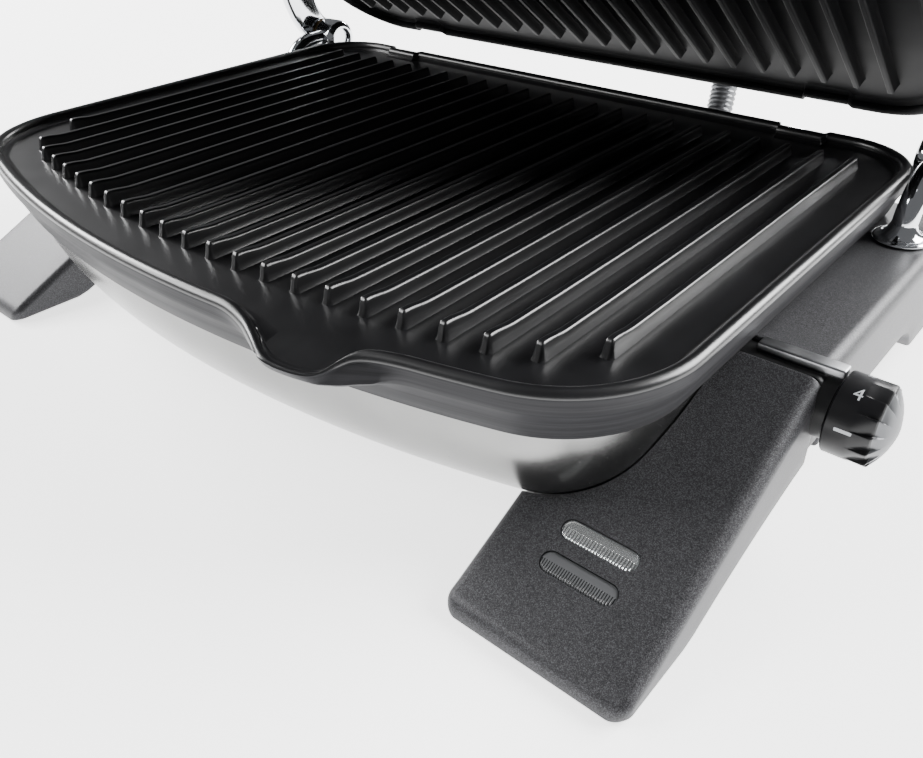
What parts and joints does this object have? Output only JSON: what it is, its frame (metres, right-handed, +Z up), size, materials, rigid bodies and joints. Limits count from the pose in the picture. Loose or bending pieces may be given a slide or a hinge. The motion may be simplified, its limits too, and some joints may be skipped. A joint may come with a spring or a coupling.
{
  "type": "electric contact grill",
  "caption": "Open electric contact grill: ribbed cast lower plate on a steel bowl between side rails, ribbed lid on a chrome handle frame, dial knob.",
  "frame": {"origin": "on the table under the middle of the grill's overall box", "axes": "+X to the user's right, +Y to the back (hinge side), +Z up"},
  "size_m": [0.389, 0.3106, 0.3127],
  "materials": {
    "cast_coating": "satin non-stick coating on die-cast aluminium",
    "satin_steel": "satin pressed stainless steel",
    "sheet_steel": "plain galvanised sheet",
    "element_sheath": "heat-darkened steel tube",
    "chrome": "polished chrome plate",
    "rail_plastic": "moulded, metallic flake",
    "black_plastic": "satin black phenolic",
    "rubber": "plain",
    "lens_clear": "clear lens over a bright tray",
    "lens_smoke": "ribbed smoked lens",
    "neon": "clear glass envelope",
    "bronze": "dull friction washer",
    "ceramic": "glazed steatite",
    "conduit_steel": "wound steel strip"
  },
  "bodies": {
    "base": {"lower_plate": "cast_coating", "base_bowl": "satin_steel", "base_liner": "sheet_steel", "lower_element": "element_sheath", "plate_hooks_base": "chrome", "front_leg_right": "rail_plastic", "front_leg_left": "rail_plastic", "rear_leg_right": "rail_plastic", "rear_leg_left": "rail_plastic", "control_collar": "black_plastic", "seam_band_left": "black_plastic", "pointer_bar": "satin_steel", "thermostat": "sheet_steel", "power_lens": "lens_clear", "ready_lens": "lens_smoke", "lamp_trays": "chrome", "lamp_tubes": "neon", "front_feet": "rubber", "rear_feet": "rubber", "hinge_post_right": "chrome", "hinge_post_left": "chrome", "rear_pins": "chrome", "terminal_block": "ceramic", "conduit": "conduit_steel", "conduit_gland_base": "chrome", "cord_gland": "black_plastic", "leg_screws": "chrome", "base_screws": "chrome"},
    "handle_frame": {"handle_arm_right": "chrome", "handle_arm_left": "chrome", "hinge_pins": "chrome", "hinge_washers": "bronze", "handle_grip": "black_plastic", "grip_ferrules": "chrome", "lid_pivot_pins": "chrome"},
    "lid": {"upper_plate": "cast_coating", "lid_shell": "satin_steel", "lid_liner": "sheet_steel", "upper_element": "element_sheath", "plate_hooks_lid": "chrome", "lid_pivot_lugs": "black_plastic", "conduit_gland_lid": "chrome"},
    "knob": {"knob": "black_plastic", "knob_shaft": "chrome"}
  },
  "joints": [
    {"name": "frame_swing", "type": "hinge", "parent": "base", "child": "handle_frame", "pos_m": [0, 0.09392, 0.072], "axis": [-1, 0, 0], "range_deg": [-51, 50], "deforming": ["conduit"]},
    {"name": "lid_tilt", "type": "hinge", "parent": "handle_frame", "child": "lid", "pos_m": [0, 0.08018, 0.15094], "axis": [-1, 0, 0], "range_deg": [-16.1, 16.1]},
    {"name": "knob_turn", "type": "hinge", "parent": "base", "child": "knob", "pos_m": [0.17946, -0.04108, 0.0406], "axis": [-1, 0, 0], "range_deg": [-130, 80]}
  ],
  "couplings": [
    {"joint": "lid_tilt", "follows": "frame_swing", "ratio": -0.31373}
  ]
}
